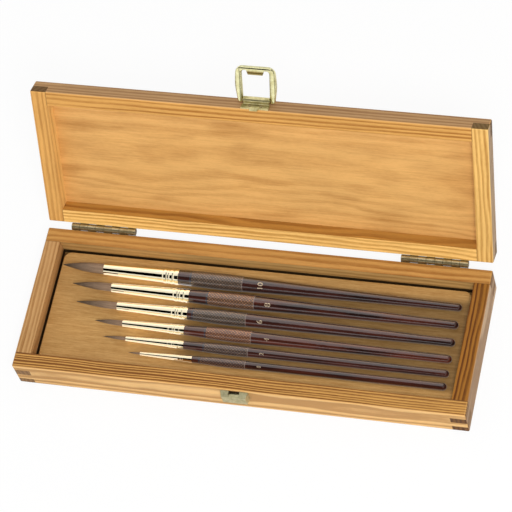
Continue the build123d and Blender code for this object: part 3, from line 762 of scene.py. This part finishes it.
def strands(put, root, length, hairs, chance, points, faces):
    """Adds three-sided hairs to a tuft, spread evenly round it."""
    for n in range(hairs):
        angle = n * GOLDEN_ANGLE
        depth = 1.0 - 0.06 * chance.random()
        reach = 0.985 - 0.22 * chance.random() ** 2
        thick = root * (0.03 + 0.012 * chance.random())
        first = len(points)
        for i in range(STEPS):
            share = reach * i / (STEPS - 1)
            taper = 1.0 - 0.75 * (i / (STEPS - 1)) ** 2
            fine = thick * taper * min(1.0, swell(share) + 0.15)
            for corner in STRAND_CORNERS:
                points.append(put(share * length, angle, root * swell(share) * depth,
                                  fine * math.cos(corner), fine * math.sin(corner)))
        for i in range(STEPS - 1):
            for j in range(3):
                k = (j + 1) % 3
                row, above = first + i * 3, first + (i + 1) * 3
                faces.append((row + j, row + k, above + k, above + j))


print("hairs of", STEPS, "steps")

# %% One hair tuft
def stand(name, data):
    """A new object in the scene."""
    piece = bpy.data.objects.new(name, data)
    bpy.context.scene.collection.objects.link(piece)
    return piece


def tuft(size, hairs):
    brush = BRUSHES[size]
    root, length = brush.mouth / 2 - FERRULE_WALL, brush.hair + ROOT_DEPTH
    put = placer(size)
    points, faces = core(put, root, length, size)
    strands(put, root, length, hairs, random.Random(size + 3), points, faces)
    mesh = bpy.data.meshes.new(f"hair_{size}")
    mesh.from_pydata(points, [], faces)
    mesh.validate()
    for face in mesh.polygons:
        face.use_smooth = True
    return stand(f"hair_{size}", mesh)


print("tufts ready")

# %% [markdown]
# ## Hair colour
#
# The hair is a light brown at the ferrule and nearly black at the point, where the strands
# close up. Fine streaks run along it.

# %% Hair colour
def hair_finish(size):
    brush = BRUSHES[size]
    finish = Finish(f"hair {size}")
    x, y, z = place_of(finish)
    share = (HANDLE_END - x - (brush.handle + brush.ferrule)) * (1.0 / brush.hair)
    strand = finish.noise(x * 0.08, y * 5.0, z * 5.0, 3.0, 0.6)
    streak = strand.ramp(0.3, 0.7)
    light = finish.mix(streak, (0.42, 0.28, 0.18), (0.22, 0.135, 0.08))
    dark = finish.mix(streak, (0.11, 0.07, 0.04), (0.045, 0.03, 0.018))
    colour = finish.mix(share.ramp(0.15, 0.95), light, dark)
    finish.set(Base_Color=colour, Roughness=0.48, Normal=finish.bump(strand, 0.3, 0.0001))
    return finish.material


HAIRS = {10: 420, 8: 380, 6: 340, 4: 280, 2: 220, 0: 130}
for size, hairs in HAIRS.items():
    piece = tuft(size, hairs)
    piece.data.materials.append(hair_finish(size))
    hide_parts(f"brush_{size}_hair")
    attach(piece, f"brush_{size}")
    print("tuft", size, len(piece.data.polygons), "faces")

# %% [markdown]
# ## Numerals
#
# The size is printed in pale gold behind each grip, turned so that its top points to the
# hair. Each numeral is laid flat above the handle and then pressed down onto it, point by
# point, so it follows the handle's curve as print does.

# %% Printed numerals
LEAN = math.radians(29.0)
WRAP_RADIUS = 4.0
CAPITAL_SHARE = 0.7
ABOVE, BELOW, PRINT_HEIGHT = 0.02, 0.016, 0.00003


def flat_numeral(size, height):
    """The mesh of a numeral, lying flat, in millimetres."""
    curve = bpy.data.curves.new(f"numeral_{size}", "FONT")
    curve.body = str(size)
    curve.size = height / CAPITAL_SHARE
    curve.align_x, curve.align_y = "CENTER", "CENTER"
    curve.resolution_u = 6
    writing = stand(f"writing_{size}", curve)
    bpy.context.view_layer.update()
    mesh = bpy.data.meshes.new_from_object(writing)
    bpy.data.objects.remove(writing)
    return mesh


def numeral(size, centre_x, height):
    """A numeral printed on a handle: rays towards the handle's axis find its surface."""
    mesh = flat_numeral(size, height)
    solid = nodes[f"brush_{size}_handle"].data
    tree = BVHTree.FromPolygons([v.co for v in solid.vertices],
                                [p.vertices for p in solid.polygons])
    tilt, end_height = lay_of(size)
    axis_y = BRUSHES[size].place / 1000
    axis_z = (end_height + (HANDLE_END - centre_x) * math.tan(tilt)) / 1000
    for vertex in mesh.vertices:
        angle = vertex.co.x / WRAP_RADIUS - LEAN
        outward = Vector((0.0, math.sin(angle), math.cos(angle)))
        start = Vector(((centre_x - vertex.co.y) / 1000, axis_y, axis_z)) + outward * ABOVE
        hit = tree.ray_cast(start, -outward)[0]
        vertex.co = (hit if hit else start - outward * BELOW) + outward * PRINT_HEIGHT
    return stand(f"numeral_{size}", mesh)


print("numerals lean", round(math.degrees(LEAN)), "degrees to the front")

# %% Gold print
gold = Finish("numeral gold")
x, y, z = place_of(gold)
wear_and_highlight = gold.noise(x * 2.0, y * 2.0, z * 2.0, 3.0, 0.7)
gold.set(Base_Color=gold.mix(wear_and_highlight, (0.80, 0.66, 0.45), (0.55, 0.42, 0.28)),
         Roughness=0.35, Metallic=0.3)
# size: (place along the box, height)
NUMERALS = {10: (1.2, 3.2), 8: (8.0, 3.5), 6: (5.4, 3.4), 4: (11.8, 3.0), 2: (10.4, 2.8),
            0: (10.3, 2.6)}
for size, (centre_x, height) in NUMERALS.items():
    piece = numeral(size, centre_x, height)
    piece.data.materials.append(gold.material)
    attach(piece, f"brush_{size}")
print("six numerals printed")

# %% [markdown]
# ## Camera
#
# The camera was worked out from the corners of the box: a long lens, high on the right and
# in front, looking down at a steep angle and rolled a little.

# %% Camera
PICTURE_WIDTH, SENSOR_WIDTH = 512, 36.0


def look(position, rotation, focal_pixels):
    """A camera from a world-to-view rotation vector, as used in photogrammetry."""
    angle = math.sqrt(sum(c * c for c in rotation))
    right, down, ahead = Matrix.Rotation(angle, 3, Vector(rotation))
    lens = bpy.data.cameras.new("view")
    lens.sensor_width, lens.lens = SENSOR_WIDTH, SENSOR_WIDTH * focal_pixels / PICTURE_WIDTH
    lens.clip_start, lens.clip_end = 0.05, 20.0
    camera = stand("view", lens)
    matrix = Matrix((right, -Vector(down), -Vector(ahead))).transposed().to_4x4()
    matrix.translation = Vector(position) / 1000
    camera.matrix_world = matrix
    bpy.context.scene.camera = camera
    return camera


camera = look((428.4, -703.8, 1479.2), (2.6346, 0.2118, -0.3123), 2894.3)
print("lens", round(camera.data.lens, 1), "mm")

# %% [markdown]
# ## Light
#
# The real box was lit from two broad sides, with a dark gap between them above it: that gap
# is the thin black line along every ferrule. The world gives even light, and only for
# reflections it has such a gap and is dimmer to the right and far left, which shapes the
# bail. To the camera and in reflections it is white, and as light it is lower.

# %% World
SKY_LEVEL = 0.62
GAP_LOW, GAP_HIGH, GAP_EDGE = math.radians(11.0), math.radians(63.0), 0.01
GAP_MIDDLE, GAP_REACH = -0.25, (0.37, 0.42)
RIGHT_DIM, LEFT_DIM, DIMMING = (0.05, 0.25), (-0.96, -0.9), 0.7


def studio():
    world = bpy.data.worlds.new("studio")
    bpy.context.scene.world = world
    sky = Shader(world)
    x, y, z = sky.split(sky.add("ShaderNodeTexCoord", out="Generated"))
    seen = sky.add("ShaderNodeLightPath", out="Is Camera Ray")
    glossy = seen.output("Is Glossy Ray")
    lean = (y * -1.0).angle_from(z)
    gap = lean.window(GAP_LOW, GAP_LOW + GAP_EDGE, GAP_HIGH - GAP_EDGE, GAP_HIGH)
    gap = gap * (1.0 - abs(x - GAP_MIDDLE).ramp(*GAP_REACH)) * glossy
    side = x.ramp(*RIGHT_DIM).larger(1.0 - x.ramp(*LEFT_DIM)) * glossy
    bright = seen.larger(glossy)
    level = (1.0 - bright) * SKY_LEVEL + bright
    level = level * (1.0 - gap) * (1.0 - side * DIMMING)
    background = sky.tree.nodes["Background"]
    sky.join(background.inputs["Color"], (1.0, 1.0, 1.0))
    sky.join(background.inputs["Strength"], level)


studio()
print("world lit")

# %% [markdown]
# ## The lamp
#
# One large round lamp adds a soft direction from the front right. Reflections don't see it,
# so it leaves no round spot on the metal.

# %% Lamp
def flat_lamp(name, shape, place, aim, length, height, power):
    """An area lamp that shines along aim."""
    lamp = bpy.data.lights.new(name, "AREA")
    lamp.shape, lamp.size, lamp.size_y, lamp.energy = shape, length, height, power
    holder = stand(name, lamp)
    holder.location = place
    holder.rotation_euler = Vector(aim).to_track_quat("-Z", "Y").to_euler()
    return holder


KEY_PLACE, KEY_TARGET = Vector((0.55, -0.85, 1.5)), Vector((0.0, 0.0, 0.02))
key = flat_lamp("key", "DISK", KEY_PLACE, KEY_TARGET - KEY_PLACE, 0.55, 0.55, 19.0)
key.visible_glossy = False
print("one soft lamp")

# %% [markdown]
# ## Pale cards that only reflections see
#
# A photographer stands white cards near polished metal, to give it something pale to mirror
# in place of the wood round it. Here one leans in front of the lid, one lies under the
# ferrules and one stands before them, and a dimmer one lies under the handles. Each is as
# bright as the world at level 1, and lights nothing.

# %% Cards, in metres
CARD_LEAN = math.radians(25)
CARD_FOOT_Y, CARD_FOOT_Z, CARD_RISE = 0.043, 0.024, 0.052
ROW_MIDDLE, ROW_WIDTH, LOW = -0.001, 0.064, 0.0125
FERRULES_X, FERRULES_LENGTH = -0.070, 0.056
HANDLES_X, HANDLES_LENGTH = 0.040, 0.164
UP, BACK = (0.0, 0.0, 1.0), (0.0, 1.0, 0.0)


def card(name, centre, aim, length, height, level=1.0):
    power = math.pi * length * height * level
    holder = flat_lamp(name, "RECTANGLE", centre, aim, length, height, power)
    holder.visible_camera = holder.visible_diffuse = False
    holder.visible_transmission = holder.visible_volume_scatter = False


lean_y, lean_z = math.sin(CARD_LEAN), math.cos(CARD_LEAN)
card("back card", (0.0, CARD_FOOT_Y + CARD_RISE * lean_y, CARD_FOOT_Z + CARD_RISE * lean_z),
     (0.0, -lean_z, lean_y), 0.25, 0.09)
card("low card", (FERRULES_X, ROW_MIDDLE, LOW), UP, FERRULES_LENGTH, ROW_WIDTH)
card("dim card", (HANDLES_X, ROW_MIDDLE, LOW), UP, HANDLES_LENGTH, ROW_WIDTH, 0.2)
card("front card", (FERRULES_X, -0.0368, 0.0168), BACK, FERRULES_LENGTH, 0.0085)
print("four cards")

# %% [markdown]
# ## Floor
#
# The floor is plain and pale. To the camera it is mostly its own white, so the background
# stays clean, and the small share that is lit keeps the soft shadow round the box.

# %% Floor
FLOOR_HALF, FLOOR_DROP = 3.0, 0.00005
OWN_WHITE = 0.9


def floor():
    corners = [(-1, -1), (1, -1), (1, 1), (-1, 1)]
    mesh = bpy.data.meshes.new("floor")
    mesh.from_pydata([(FLOOR_HALF * x, FLOOR_HALF * y, 0.0) for x, y in corners], [],
                     [(0, 1, 2, 3)])
    piece = stand("floor", mesh)
    piece.location.z = -FLOOR_DROP
    finish = Finish("floor white")
    finish.set(Base_Color=(0.9, 0.9, 0.9), Roughness=0.9)
    seen = finish.add("ShaderNodeLightPath", out="Is Camera Ray")
    lit = Signal(finish, finish.surface.outputs[0])
    glow = finish.add("ShaderNodeEmission", None, {"Color": (1.0, 1.0, 1.0), "Strength": 1.0})
    joined = finish.add("ShaderNodeMixShader", None, {0: seen * OWN_WHITE, 1: lit, 2: glow})
    finish.join(finish.tree.nodes["Material Output"].inputs["Surface"], joined)
    mesh.materials.append(finish.material)
    return piece


floor()
bpy.context.scene.view_settings.view_transform = "Standard"
print("floor laid")
